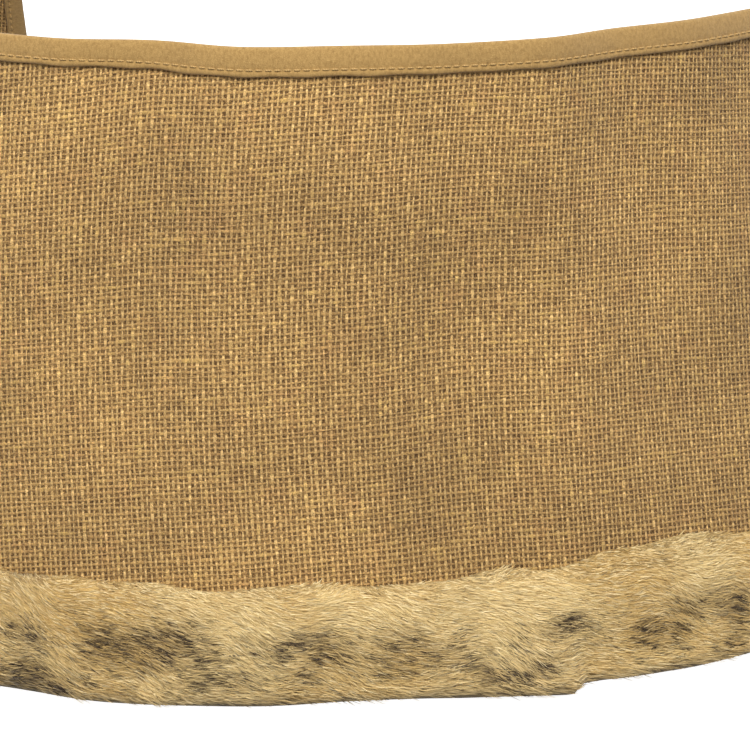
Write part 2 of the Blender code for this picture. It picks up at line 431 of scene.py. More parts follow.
def jute(shade):
    across, down = shade.map("Weave")
    warp = across.whole()
    weft = down.whole()
    from_warp = across - warp - 0.5
    from_weft = down - weft - 0.5
    side = 1 - 2 * (warp + weft).remainder(2.0)
    slub_warp = shade.noise(shade.place(warp * 7.31, down * 0.22), 1.0, 3.0)
    slub_weft = shade.noise(shade.place(across * 0.20, weft * 5.17 + 40), 1.0, 3.0)
    hairy = shade.noise(shade.place(across, down), 4.6, 2.0, 0.7)

    def yarn_top(from_middle, slub, from_crossing, way):
        half = slub * YARN_SLUB + hairy * YARN_FUZZ + YARN_THIN
        bent = from_middle / half
        rounded = (1 - bent * bent).max(0.0).root() * ROUNDNESS
        rise = (from_crossing * math.pi).cosine() * side * way * CRIMP
        return rise + rounded + ((from_middle.abs() < half) - 1) * 3

    warp_top = yarn_top(from_warp, slub_warp, from_weft, 1)
    weft_top = yarn_top(from_weft, slub_weft, from_warp, -1)
    top = warp_top.max(weft_top).max(PIT_LEVEL)
    over = warp_top > weft_top

    def uppermost(of_warp, of_weft):
        return over * of_warp + (1 - over) * of_weft

    fibre_warp = shade.noise(shade.place(across * 9, down * 1.6), 1.0, 3.0, 0.7)
    fibre_weft = shade.noise(shade.place(across * 1.6, down * 9), 1.0, 3.0, 0.7)
    fibre = uppermost(fibre_warp, fibre_weft)
    warp_tone = shade.noise(shade.place(warp * 3.73 + 9, down * 0.5), 1.0, 4.0, 0.65)
    weft_tone = shade.noise(shade.place(across * 0.45, weft * 4.91 + 3), 1.0, 4.0, 0.65)
    warp_colour = warp_tone.spread(0.32, 0.70).mix(JUTE_TAN, JUTE_PALE)
    weft_colour = weft_tone.spread(0.32, 0.70).mix(JUTE_BROWN, JUTE_TAN)
    yarn = over.mix(weft_colour, warp_colour)
    where = shade.solid_place()
    patch = shade.noise(where, 14.0, 3.0)
    warm = shade.noise(where, 75.0, 3.0)
    yarn = (warm.spread(0.50, 0.72) * 0.4).mix(yarn, JUTE_REDDISH)
    yarn = (uppermost(slub_warp, slub_weft).spread(0.55, 0.72) * 0.5).mix(yarn, JUTE_STRAW)
    # Painted shade and highlight: the yarns are drawn darker where they dip low in the weave and
    # lighter on their crests.
    depth = top.spread(-0.30, 0.80, 0.64, 1.12)
    spark = shade.noise(shade.place(warp * 1.37 + 0.4, weft * 1.61 + 0.2), 1.0, 0.0)
    warp_line = shade.noise(shade.place(warp * 3.73 + 30, down * 0.03), 1.0)
    weft_line = shade.noise(shade.place(across * 0.03, weft * 4.19 + 60), 1.0)
    line = uppermost(warp_line, weft_line) * 0.55 + 0.725
    broad = patch * 0.85 + 0.575
    tone_and_depth_shade = depth * (fibre * 1.2 + 0.38) * line * (spark * 0.45 + 0.775)
    yarn = yarn.lit(tone_and_depth_shade)
    hole = top < -0.5
    cell = shade.noise(shade.place((across + 0.5).whole() * 2.3, (down + 0.5).whole() * 2.9), 1.0)
    # Painted shade: the pits between the yarns get a dark brown that stands for the shadow under
    # the yarns.
    pit = (hairy * 0.6 + cell * 0.4).spread(0.42, 0.68).mix(JUTE_SHADOW, JUTE_PALE_PIT_SHADE)
    curl = shade.noise(shade.place(across, down), 1.5, 1.0, 0.5)
    loose = (1 - (curl - 0.5).abs() * 15).max(0.0)
    dust = shade.noise(shade.place(across, down), 3.0, 2.0, 0.8)
    colour = (loose * 0.5).mix(hole.mix(yarn, pit), JUTE_TAN)
    colour = colour.lit(broad * (dust * 2.5 - 0.23))
    height = top + fibre * 0.5 + hairy * 0.4 + loose * 0.5
    return colour, 0.86, height, 0.00022, 0.12


BURLAP_FINISH = finish_of("jute_plain_weave", jute)

LEAN_AT_TOP = 0.167  # the warp's sideways pull, metres for each metre down
LEAN_ENDS = 0.21  # the drop below which the warp hangs straight
POINTS_PER_YARN = 4
SEAM_GROOVE = 0.0007
SEAM_GROOVE_HALF = 0.0012
PUCKER_HEIGHT = 0.00022
PUCKER_REACH = 0.022


def lean(drop):
    """How far the warp has been pulled sideways at each drop."""
    capped = np.clip(drop, 0.0, LEAN_ENDS)
    return LEAN_AT_TOP * (capped - capped**2 / (2 * LEAN_ENDS))


def off_the_cut(along, down, grain):
    """From a place on the flat cloth to its azimuth and drop on the band."""
    across = along
    for _ in range(3):
        drop = np.hypot(across, APEX + down) - APEX
        across = along - lean(drop)
    drop = np.hypot(across, APEX + down) - APEX
    azimuth = grain + np.degrees(np.arctan2(across, APEX + down) / math.sin(FLARE))
    return azimuth, drop


def yarn_relief(across, down):
    """The height of a plain weave's upper face, in metres, at yarn counts across and down."""
    round_yarn = 0.00030
    crimp = 0.00022
    pit = -0.00015
    half_yarn = 0.33
    warp = np.floor(across)
    weft = np.floor(down)
    from_warp = across - warp - 0.5
    from_weft = down - weft - 0.5
    side = 1 - 2 * np.mod(warp + weft, 2)

    def yarn_top(from_middle, from_crossing, way):
        rounded = np.sqrt(np.maximum(1 - (from_middle / half_yarn) ** 2, 0.0)) * round_yarn
        top = np.cos(np.pi * from_crossing) * side * way * crimp + rounded
        return np.where(np.abs(from_middle) < half_yarn, top, pit)

    upper = np.maximum(yarn_top(from_warp, from_weft, 1), yarn_top(from_weft, from_warp, -1))
    return np.maximum(upper, pit)


def woven_panel(side, start, end, grain, fine):
    """One panel of the band, its mesh laid along its yarns. fine is the span with most points.
    Its Weave map counts yarns; its OFBake map lays the two halves of the panel in two rows."""
    edges = np.linspace(start, end, 400)
    turn = np.radians(edges - grain) * math.sin(FLARE)
    ends = (BURLAP_TOP, BURLAP_BOTTOM)
    around = [(APEX + drop) * np.sin(turn) + lean(drop) for drop in ends]
    below = [(APEX + drop) * np.cos(turn) - APEX for drop in ends]

    def yarn_steps(places):
        low = math.floor(np.min(places) / YARN_PITCH) - 1
        high = math.ceil(np.max(places) / YARN_PITCH) + 1
        return np.arange(low * POINTS_PER_YARN, high * POINTS_PER_YARN + 1) / POINTS_PER_YARN

    across = yarn_steps(around)
    in_fine = np.zeros(len(across), bool)
    if fine:
        fine_turn = np.radians(np.array(fine) - grain) * math.sin(FLARE)
        fine_low = APEX * math.sin(fine_turn[0]) / YARN_PITCH
        fine_high = (APEX + BAND_DROP) * math.sin(fine_turn[1]) / YARN_PITCH
        in_fine = (across > fine_low) & (across < fine_high)
    across = across[in_fine | (np.mod(across * 2, 1) == 0)]
    down = yarn_steps(below)
    fine_down = (FUR_START + 0.004) / YARN_PITCH if fine else down[0]
    down = down[(down < fine_down) | (np.mod(down * 2, 1) == 0)]
    grid_across, grid_down = np.meshgrid(across, down)
    drift = waves(grid_across, grid_down, 11, 7, 5.0, 26.0) * 0.15
    drift += waves(grid_across, grid_down, 14, 7, 2.6, 9.0) * 0.10
    sag = waves(grid_down, grid_across, 12, 7, 5.0, 30.0) * 0.15
    sag += waves(grid_down, grid_across, 15, 7, 2.6, 9.0) * 0.10
    azimuth, drop = off_the_cut(
        (grid_across + drift) * YARN_PITCH, (grid_down + sag) * YARN_PITCH, grain
    )
    index = grid_faces(*grid_across.shape)
    face_turn = azimuth.ravel()[index]
    face_drop = drop.ravel()[index]
    kept = (face_turn.max(1) > start) & (face_turn.min(1) < end)
    kept &= (face_drop.max(1) > BURLAP_TOP) & (face_drop.min(1) < BURLAP_BOTTOM)
    used, faces = np.unique(index[kept], return_inverse=True)
    faces = faces.reshape(-1, 4)
    azimuth = np.clip(azimuth.ravel()[used], start, end)
    drop = np.clip(drop.ravel()[used], BURLAP_TOP, BURLAP_BOTTOM)
    count_across = grid_across.ravel()[used]
    count_down = grid_down.ravel()[used]
    relief = yarn_relief(count_across, count_down)
    for seam in (-SEAM_AZIMUTH, SEAM_AZIMUTH):
        away = np.radians(azimuth - seam) * reach_at(drop)
        near_seam = np.exp(-((away / SEAM_GROOVE_HALF) ** 2))
        relief = relief * (1 - near_seam) - SEAM_GROOVE * near_seam
    below_binding = np.clip((drop - BINDING_WIDTH) / PUCKER_REACH, 0.0, 1.0)
    pucker = np.where(drop > 0.011, (1 - below_binding) ** 2, 0.0)
    relief = relief + pucker * PUCKER_HEIGHT * waves(azimuth, drop, 13, 5, 2.1, 1.0)
    points = on_band(azimuth, drop, relief)
    middle = (start + end) / 2
    right_half = (azimuth[faces].mean(1) > middle)[:, None]
    span = (azimuth[faces] - start) / (middle - start) - right_half
    tall = (drop[faces] - BURLAP_TOP) / (BURLAP_BOTTOM - BURLAP_TOP)
    laid = np.stack([0.01 + span * 0.98, 0.01 + tall * 0.47 + right_half * 0.51], axis=-1)
    yarns = np.stack([count_across[faces], count_down[faces]], axis=-1)
    maps = {"Weave": yarns, "OFBake": laid}
    piece = sheet_mesh(side + "_burlap", points, faces, maps, BURLAP_FINISH)
    swing_or_ride(piece, side)
    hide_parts(side + "_burlap_panel")


FINE_SPAN = (-29.0, 50.0)  # the part of the front with four points to a yarn and the most hairs
GRAIN = {"front": 15.5, "left": -110.0, "right": 93.0}  # the azimuth where the warp hangs plumb
for side, (start, end) in PANELS.items():
    woven_panel(side, start, end, GRAIN[side], FINE_SPAN if side == "front" else None)

# ---------------------------------------------------------------- Hem facings and seam tapes
# Thin twill tape inside the band: one strip faces the hem, one covers each seam allowance.
# Woven in a herringbone, laid flat against the burlap and sewn down along both edges.
TAPE = 0.0011
FACING_WIDTH = 0.030
SEAM_TAPE_WIDTH = 0.012
SEAM_RIDGE = 0.0004  # how far the seam allowance under a seam tape crowns it
HERRINGBONE = 0.0030
TWILL_PITCH = 0.0011
TAPE_BROWN = srgb(150, 118, 76)
TAPE_GROOVE_SHADE = srgb(112, 84, 50)


def twill(shade):
    along, across = shade.map("Tape")
    column = (across / HERRINGBONE).whole()
    way = 1 - 2 * column.remainder(2.0)
    slant = (along + way * across) / TWILL_PITCH
    ridge = (slant * 2 * math.pi).sine() * 0.5 + 0.5
    fuzz = shade.noise(shade.place(along * 2600, across * 2600), 1.0, 3.0)
    patch = shade.noise(shade.solid_place(), 40.0)
    # Painted shade: the tape is drawn darker in the grooves between its twill ridges.
    colour = ridge.mix(TAPE_GROOVE_SHADE, TAPE_BROWN).lit(fuzz * 0.5 + patch * 0.4 + 0.58)
    return colour, 0.88, ridge + fuzz * 0.5, 0.00018, 0.15


TAPE_FINISH = finish_of("herringbone_tape", twill)


def swept(name, profile, stations, to_points, finish, map_name):
    """A closed piece: a profile carried along its stations, with rounded closed ends.
    profile is an array of (first, second); to_points places it at every station."""
    places = np.concatenate([stations[:1], stations, stations[-1:]])
    outline = np.repeat(profile[:, None, :], len(places), axis=1)
    outline[:, [0, -1]] = profile.mean(0)
    points = to_points(places[None, :], outline[..., 0], outline[..., 1])
    faces = grid_faces(len(profile), len(places), closed=1)
    step = np.linalg.norm(np.diff(np.vstack([profile, profile[:1]]), axis=0), axis=1)
    round_length = np.concatenate([[0.0], np.cumsum(step)])
    run = np.linalg.norm(np.diff(points[0], axis=0), axis=1)
    length = np.concatenate([[0.0], np.cumsum(run)])
    row, column = np.divmod(faces, len(places))
    wrapped = (row == 0) & (row.max(1, keepdims=True) == len(profile) - 1)
    around = np.where(wrapped, round_length[-1], round_length[row])
    corners = np.stack([length[column], around], axis=-1)
    return sheet_mesh(name, points.reshape(-1, 3), faces, {map_name: corners}, finish)


def rounded_strip(low, high, near, far, rise=0.0):
    """The profile of a thin strip with rolled edges; rise crowns its far face."""
    across = np.array([0.0, 0.02, 0.08, 0.25, 0.5, 0.75, 0.92, 0.98, 1.0])
    lift = np.array([0.5, 0.85, 1.0, 1.0, 1.0, 1.0, 1.0, 0.85, 0.5])
    crown = rise * np.sin(np.pi * across)
    deep = far - near
    outer = np.stack([low + across * (high - low), near + lift * deep + crown], axis=1)
    inner = np.stack([outer[::-1, 0], near + (1 - lift) * 0.8 * deep], axis=1)
    return np.vstack([outer, inner[1:-1]])


BAND_STEP = 0.5  # degrees between the facings' and the fur's cross-sections


def stations_between(start, end, step):
    """Azimuths from one end to the other, a step in degrees apart or a little less."""
    return np.linspace(start, end, int((end - start) / step) + 2)


facing_top = BURLAP_BOTTOM - FACING_WIDTH
for side, (start, end) in PANELS.items():
    profile = rounded_strip(facing_top, BURLAP_BOTTOM, -CLOTH_FACE, -CLOTH_FACE - TAPE)
    stations = stations_between(start, end, BAND_STEP)
    piece = swept(side + "_facing", profile, stations, on_band, TAPE_FINISH, "Tape")
    swing_or_ride(piece, side)
    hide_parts(side + "_hem_facing")

for side, way in (("left", -1), ("right", 1)):
    tape_top = BINDING_WIDTH + CLEARANCE
    tape_foot = facing_top - CLEARANCE
    tape_profile = rounded_strip(
        0.0, way * SEAM_TAPE_WIDTH, -CLOTH_FACE, -CLOTH_FACE - TAPE, rise=-SEAM_RIDGE
    )

    def down_the_seam(places, first, second, edge=way * SEAM_AZIMUTH):
        return on_band(past_edge(edge, first, places), places, second)

    drops = np.linspace(tape_top, tape_foot, 60)
    name = side + "_seam_cover"
    seam_tape = swept(name, tape_profile, drops, down_the_seam, TAPE_FINISH, "Tape")
    swing_or_ride(seam_tape, side)
    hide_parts(side + "_seam_tape")

# ---------------------------------------------------------------- Fur trim
# A strip of short-pile faux fur sewn round the foot of the band, cream with brown patches.
# A rounded pile carries many thousands of fine hairs that lie sideways, each darker at its tip.
FUR_PILE = 0.0095
LAP = 0.060
BARE_TURN = math.degrees((LAP + 3 * CLEARANCE) / TOP_RADIUS)
FUR_CREAM = srgb(232, 204, 141)
FUR_PALE = srgb(238, 220, 172)
FUR_GOLD = srgb(214, 178, 108)
FUR_BROWN = srgb(158, 124, 68)
FUR_TIP = srgb(46, 30, 16)
FUR_FOOT_SHADE = srgb(160, 142, 108)
FUR_MARKS = (  # azimuth, share down the strip, their reaches, and strength of a brown patch
    (-17.0, 0.46, 2.6, 0.24, 1.0),
    (-15.5, 0.84, 3.0, 0.16, 0.7),
    (-8.5, 0.50, 5.6, 0.30, 1.0),
    (-4.5, 0.76, 3.6, 0.16, 0.8),
    (1.0, 0.46, 4.6, 0.20, 0.8),
    (8.5, 0.64, 4.4, 0.26, 0.8),
    (14.5, 0.78, 3.0, 0.18, 0.6),
    (18.6, 0.44, 2.2, 0.18, 1.0),
    (25.0, 0.62, 3.6, 0.16, 0.6),
    (28.0, 0.36, 2.6, 0.18, 0.9),
    (31.5, 0.54, 2.6, 0.22, 0.9),
)


def pile_coat(shade, along, height_up, from_root, draw_number):
    """The fur's colour at a place on the strip, from root to tip of one hair."""
    blotch = shade.noise(shade.place(along * 21, height_up * 2.0), 1.0, 3.0, 0.62)
    golden = shade.noise(shade.place(along * 17 + 20, height_up * 1.1), 1.0, 2.0)
    fall = height_up * FUR_HEIGHT
    with_hair = along * 0.96 + fall * 0.28
    over_hair = fall * 0.96 - along * 0.28
    clump = shade.noise(shade.place(with_hair * 110, over_hair * 620), 1.0, 2.0, 0.6)
    marks = along.abs().spread(0.24, 0.32) * 0.45
    for turn, share, reach_turn, reach_share, strength in FUR_MARKS:
        reach = math.radians(reach_turn) * FOOT_RADIUS
        aside = (along - math.radians(turn) * FOOT_RADIUS) / reach
        below = (height_up - share) / reach_share
        marks = marks.max((1 - (aside * aside + below * below)) * strength)
    low_on_strip = height_up.spread(0.10, 0.50)
    near_foot = height_up.spread(0.86, 1.0)
    near_top = 1 - height_up.spread(0.0, 0.05)
    brown = (blotch * 1.1 + marks * 0.31 + low_on_strip * 0.13).spread(0.40, 1.08)
    base = golden.spread(0.38, 0.66).mix(FUR_CREAM, FUR_GOLD)
    base = (draw_number.spread(0.45, 1.0) * 0.8).mix(base, FUR_PALE)
    # Painted shade: the hairs are drawn greyer and darker near the foot, where the pile turns
    # under.
    base = (near_foot * 0.75).mix(base, FUR_FOOT_SHADE)
    base = (brown * 0.48).mix(base, FUR_BROWN)
    # Brown hairs and painted shadow: half the hairs at the top edge, where the fur meets the
    # burlap, are drawn browner.
    base = (near_top * (draw_number < 0.5) * 0.5).mix(base, FUR_BROWN)
    dark = clump * 2.3 + brown * 0.52 + low_on_strip * 0.10 + draw_number * 0.35
    dark = (dark - 1.34).spread(0.42, 0.76)
    tipped = from_root.spread(0.25, 0.55) * dark
    stray = (draw_number > 0.955) * from_root.spread(0.4, 0.9) * (low_on_strip * 0.8 + 0.2)
    return tipped.max(stray).mix(base, FUR_TIP)


def fur_backing(shade):
    along, height_up = shade.map("Strip")
    streak = shade.noise(shade.place(along * 240, height_up * 60), 1.0, 4.0, 0.6)
    # Painted shade deep in the pile, with streaky tone: the backing between the hairs is drawn
    # darker, most where its streaks run low.
    colour = pile_coat(shade, along, height_up, streak, streak).lit(streak * 0.7 + 0.35)
    return colour, 0.75, streak, 0.0006, 0.25


def hairs(shade):
    along, height_up = shade.map("Strip")
    from_root, draw_number = shade.map("Hair")
    colour = pile_coat(shade, along, height_up, from_root, draw_number)
    # Painted shade: each hair is drawn darker toward its root, where the hairs above it shade it.
    shade_down = from_root.spread(0.0, 0.45, 0.62, 1.0)
    uneven = draw_number * 0.26 + 0.92
    colour = colour.lit(shade_down * uneven)
    return colour, 0.55, from_root, 0.00001, 0.3


PILE_FINISH = finish_of("fur_pile", fur_backing)
HAIR_FINISH = finish_of("fur_hairs", hairs)

# The strip's outer face from burlap to floor: share down the strip, share of the pile's depth.
PILE_SHAPE = (
    (0.000, 0.06), (0.010, 0.34), (0.040, 0.58), (0.10, 0.78), (0.20, 0.92), (0.35, 1.00),
    (0.50, 1.02), (0.65, 1.00), (0.80, 0.94), (0.90, 0.84), (0.96, 0.70), (1.00, 0.52),
)
UNDER_PILE = 0.80  # the backing's depth beside the hairs' own
PILE_FALL = FUR_HEIGHT - 0.001  # the strip's own height down the slope
FLOOR_GAP = 0.0004
KICK = 0.0085  # how far the foot stands out at its kick, and falls in beside it
KICK_FALL = 0.0016


def tufts(azimuth, along_strip):
    """How the pile's depth varies round and down the strip."""
    broad = waves(azimuth, along_strip, 21, 6, 7.0, 1.3)
    small = waves(azimuth, along_strip, 22, 6, 1.8, 0.35)
    return 1 + 0.085 * broad + 0.035 * small


def kicked_out(points, azimuth, along_strip):
    """The same points kicked out level at the foot in one place, and held off the floor."""
    low = np.clip((along_strip - 0.40) / 0.50, 0.0, 1.0) ** 1.5
    kick = np.clip((azimuth - 10.0) / 8.6, 0, 1) ** 1.5 * np.clip(20.2 - azimuth, 0, 1)
    parted = np.exp(-(((azimuth - 21.6) / 1.4) ** 2))
    push = low * (KICK * kick - KICK_FALL * parted)
    turn = np.radians(azimuth)
    level = np.stack([np.sin(turn), -np.cos(turn), turn * 0], axis=-1)
    points = points + level * push[..., None]
    points[..., 2] = np.maximum(points[..., 2], FLOOR_GAP)
    return points


FUR_TUFTS = (  # azimuth, reach in degrees, and how far up the strip its edge creeps
    (-24.0, 4.5, 0.085),
    (24.5, 5.5, 0.110),
    (31.5, 4.5, 0.085),
)


def edge_creep(azimuth):
    """How far the pile spills up over its sewn edge, as a share of the strip's height."""
    creep = 0.035 + 0.03 * waves(azimuth, 0.0, 33, 5, 8.0, 1.0)
    for tuft_turn, tuft_reach, tuft_rise in FUR_TUFTS:
        creep = creep + tuft_rise * np.exp(-(((azimuth - tuft_turn) / tuft_reach) ** 2))
    return np.maximum(creep, 0.0)


def pile_face(azimuth, along_strip, above):
    """Points over the fur's outer face: 0 at its top edge, 1 at the floor, below 0 on burlap."""
    shape = np.array(PILE_SHAPE)
    spill = edge_creep(azimuth) * 0.6
    down = np.clip((along_strip + spill) / (1 + spill), 0.0, 1.0)
    bulge = np.interp(down, shape[:, 0], shape[:, 1]) * FUR_PILE * UNDER_PILE
    bulge = bulge * tufts(azimuth, down)
    drop = FUR_START + along_strip * PILE_FALL
    lift = np.clip(down * 12, 0.0, 1.0) ** 0.5
    offset = CLOTH_FACE - 0.0002 + bulge + above * (0.35 + 0.65 * lift)
    return kicked_out(on_band(azimuth, drop, offset), azimuth, along_strip)


def fur_pad(side, start, end):
    shape = np.array(PILE_SHAPE)
    face_drop = FUR_START + shape[:, 0] * PILE_FALL
    back_drop = np.linspace(BAND_DROP - 0.001, FUR_START, 6)
    back = np.stack([back_drop, np.full(6, CLOTH_FACE)], axis=1)
    face = np.stack([face_drop, CLOTH_FACE + shape[:, 1] * FUR_PILE * UNDER_PILE], axis=1)
    profile = np.vstack([face, back])
    share = np.clip((profile[:, 0] - FUR_START) / FUR_HEIGHT, 0, 1)[:, None]
    on_face = (np.arange(len(profile)) < len(face))[:, None]

    def bulging(places, first, second):
        swell = np.where(on_face, tufts(places + first * 0, share + first * 0), 1.0)
        points = on_band(places, first, CLOTH_FACE + (second - CLOTH_FACE) * swell)
        below = np.where(on_face, share, 0.0) + points[..., 0] * 0
        return kicked_out(points, places + below * 0, below)

    stations = stations_between(start, end, BAND_STEP)
    piece = swept(side + "_fur_backing", profile, stations, bulging, PILE_FINISH, "Round")
    mesh = piece.data
    corner_point = np.zeros(len(mesh.loops), np.int32)
    mesh.loops.foreach_get("vertex_index", corner_point)
    row, column = np.divmod(corner_point, len(stations) + 2)
    turn = np.concatenate([stations[:1], stations, stations[-1:]])[column]
    layer = mesh.uv_layers.new(name="Strip")
    corners = np.stack([np.radians(turn) * FOOT_RADIUS, share[row, 0]], axis=1)
    layer.data.foreach_set("uv", np.ascontiguousarray(corners, np.float32).ravel())
    return piece


HAIR_STEPS = np.array([0.0, 0.5, 1.0])
HAIR_TAPER = np.array([0.9, 0.95, 0.22])
HAIR_SHORTEST = 0.0050
HAIR_LONGEST = 0.0105
HAIR_ARCH = np.pi * 0.62


def unit(vectors, least):
    """The same directions at length one; least keeps a zero length from dividing."""
    return vectors / np.maximum(np.linalg.norm(vectors, axis=-1, keepdims=True), least)


def fur_hairs(side, spans, count, width, seed):
    """Fine flat hairs over one length of the strip, each a tapering ribbon of two faces."""
    draw = np.random.default_rng(seed)
    share = draw.uniform(0, 1, count)
    root_turn = np.interp(share, *np.array(spans).T)
    creep = edge_creep(root_turn)
    root_down = draw.uniform(0.0, 1.0, count) * (0.955 + creep) - creep
    flow = 14 + 22 * waves(root_turn, root_down, 31, 6, 9.0, 1.4)
    flow = flow + 6 * waves(root_turn, root_down, 32, 6, 2.2, 0.4) + draw.normal(0, 7, count)
    flow = flow - 10 * np.clip(1 - root_down / 0.12, 0, 1) * draw.uniform(0.0, 1.6, count)
    flow = flow * (1 - 0.5 * np.clip((root_down - 0.80) / 0.15, 0, 1))
    length = draw.uniform(HAIR_SHORTEST, HAIR_LONGEST, count)
    length = length * (1 - 0.45 * np.clip(1 - root_down / 0.05, 0, 1))
    sideways = np.cos(np.radians(flow)) * length
    downways = np.sin(np.radians(flow)) * length
    bend = draw.normal(0, 0.09, count)
    lift = draw.uniform(0.0008, 0.0024, count)
    tip_lift = lift * draw.uniform(0.45, 1.25, count)
    half = width * draw.uniform(0.6, 1.2, count) / 2
    roll = draw.normal(0, 0.45, count)
    number = draw.uniform(0, 1, count)
    metres_per_turn = np.radians(1.0) * FOOT_RADIUS
    steps = HAIR_STEPS[None, :]
    run = sideways[:, None] * steps - downways[:, None] * bend[:, None] * steps**2
    fall = downways[:, None] * steps + sideways[:, None] * bend[:, None] * steps**2
    above = lift[:, None] * np.sin(HAIR_ARCH * steps) / math.sin(HAIR_ARCH)
    above = above + (tip_lift - lift)[:, None] * steps**2
    near_floor = np.clip((root_down - 0.78) / 0.17, 0, 1)
    above = above + (near_floor * draw.uniform(0.0, 1.0, count) ** 2)[:, None] * steps * 0.0055
    turn = root_turn[:, None] + run / metres_per_turn
    lowest = draw.uniform(0.97, 1.055, count)
    along_strip = np.minimum(root_down[:, None] + fall / FUR_HEIGHT, lowest[:, None])
    spine = pile_face(turn, along_strip, above)
    outward = pile_face(turn, along_strip, above + 0.001) - spine
    outward = unit(outward + np.array([0.0, 0.0, 1e-7]), 0.0)
    ahead = unit(np.gradient(spine, axis=1), 1e-9)
    across = unit(np.cross(ahead, outward), 1e-9)
    turned = across * np.cos(roll)[:, None, None] + outward * np.sin(roll)[:, None, None]
    reach = turned * (half[:, None] * HAIR_TAPER[None, :])[..., None]
    points = np.stack([spine - reach, spine + reach], axis=2)
    points[..., 2] = np.maximum(points[..., 2], 0.0003)
    levels = len(HAIR_STEPS)
    first = np.arange(count)[:, None] * levels * 2 + np.arange(levels - 1)[None, :] * 2
    faces = np.stack([first, first + 1, first + 3, first + 2], axis=-1).reshape(-1, 4)
    strip = np.stack([np.radians(root_turn) * FOOT_RADIUS, np.clip(root_down, 0, 1)], axis=1)
    strip = np.repeat(strip, levels * 2, axis=0)
    step_of = np.tile(np.repeat(HAIR_STEPS, 2), count)
    hair = np.stack([step_of, np.repeat(number, levels * 2)], axis=1)
    maps = {"Strip": strip[faces], "Hair": hair[faces]}
    return sheet_mesh(side + "_fur_hairs", points.reshape(-1, 3), faces, maps, HAIR_FINISH)


for number, (side, (start, end)) in enumerate(PANELS.items()):
    if side == "front":
        spans = ((0.0, start), (0.13, FINE_SPAN[0]), (0.85, FINE_SPAN[1]), (1.0, end))
        hairs_per_turn, hair_width = 1150, 0.00036
    else:
        end = RIGHT_END - BARE_TURN if side == "right" else end
        spans = ((0.0, start), (1.0, end))
        hairs_per_turn, hair_width = 640, 0.00052
    backing = fur_pad(side, start, end)
    hair_count = int(hairs_per_turn * (end - start))
    coat = fur_hairs(side, spans, hair_count, hair_width, 40 + number)
    swing_or_ride(backing, side)
    swing_or_ride(coat, side)
    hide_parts(side + "_fur_trim")

# ---------------------------------------------------------------- Top binding
# Pressed felt tape folded over the raw top edge, its two legs sewn through in one line.
# The stitching pulls a shallow groove, and the felt puffs up a little between the stitches.
BINDING_FACE = CLOTH_FACE + FELT
STITCH_INSET = 0.0029
STITCH_PITCH = 0.0039
FELT_STEP = 0.18  # degrees between the binding's cross-sections
FELT_PUFF = 0.00024
FELT_RIPPLE = 0.00010
LIP_WANDER = 0.00028
FELT_TAN = srgb(180, 144, 86)
FELT_LIGHT = srgb(198, 162, 102)
FELT_DARK = srgb(150, 116, 64)


def felt(shade):
    where = shade.solid_place()
    along, around = shade.map("Felt")
    clump = shade.noise(shade.place(along * 820, around * 430), 1.0, 3.0, 0.6)
    fibre = shade.noise(where, 2600.0, 3.0, 0.6)
    patch = shade.noise(where, 22.0, 2.0)
    mottle = (clump * 0.62 + fibre * 0.38).spread(0.30, 0.64)
    colour = mottle.mix(FELT_DARK, FELT_TAN)
    colour = (fibre.spread(0.52, 0.75) * 0.8).mix(colour, FELT_LIGHT)
    colour = colour.lit(patch * 0.22 + 0.89)
    return colour, 0.9, clump * 0.6 + fibre, 0.00022, 0.3


FELT_FINISH = finish_of("pressed_felt", felt)


def folded_felt(width):
    """Profile of felt folded over an edge: from the outer leg's lip over the crown and back."""
    groove = width - STITCH_INSET
    runs = np.array([
        width, width - 0.0005, groove + 0.0012, groove + 0.0006, groove, groove - 0.0007,
        groove - 0.0016, groove - 0.0035, width * 0.30, 0.0017, 0.0007, 0.0001,
    ])
    swells = np.array([
        -0.60, -0.06, 0.04, -0.20, -0.40, -0.18, 0.08, 0.22, 0.18, 0.02, -0.30, -0.80,
    ]) * 0.001
    outer = np.stack([runs, BINDING_FACE + swells], axis=1)
    crown = np.array([[-0.0002, 0.0]])
    inner_leg = outer[::-1] * np.array([1.0, -1.0])
    back_runs = np.array([width, width * 0.6, width * 0.25, FELT + 0.0002])
    back = np.stack([back_runs, np.full(4, -CLOTH_FACE)], axis=1)
    front_back = back[::-1] * np.array([1.0, -1.0])
    return np.vstack([outer, crown, inner_leg, back, front_back])


FELT_PROFILE = folded_felt(BINDING_WIDTH)
GROOVE = BINDING_WIDTH - STITCH_INSET
near_groove = np.exp(-(((FELT_PROFILE[:, 0] - GROOVE) / 0.0011) ** 2))
near_groove *= np.abs(FELT_PROFILE[:, 1]) > CLOTH_FACE * 1.2
near_lip = np.exp(-(((FELT_PROFILE[:, 0] - BINDING_WIDTH) / 0.0015) ** 2))
out_or_in = np.sign(FELT_PROFILE[:, 1])


def puffed(first, second, stitch_count, seed):
    """The felt's profile at each station: pinched at the stitches, its lip a little wavy."""
    between = 0.5 - 0.5 * np.cos(2 * np.pi * stitch_count)
    swell = near_groove[:, None] * between * FELT_PUFF * out_or_in[:, None]
    wander = waves(stitch_count, stitch_count * 0, seed, 6, 9.0, 1.0)
    run = first + near_lip[:, None] * wander * LIP_WANDER
    ripple = waves(stitch_count, first * 300, seed + 1, 5, 5.0, 2.0)
    return run, second + swell + out_or_in[:, None] * FELT_RIPPLE * ripple


def turned_in(azimuth):
    """How much of the binding's width is left where it was turned over less deep."""
    narrow = np.clip((-7 - azimuth) / 6, 0.0, 1.0) * np.clip((azimuth + 60) / 20, 0.0, 1.0)
    return 1 - 0.085 * narrow


def along_top(places, first, second):
    stitch_count = np.radians(places) * TOP_RADIUS / STITCH_PITCH
    run, offset = puffed(first, second, stitch_count, 51)
    return on_band(places, run * turned_in(places), offset)


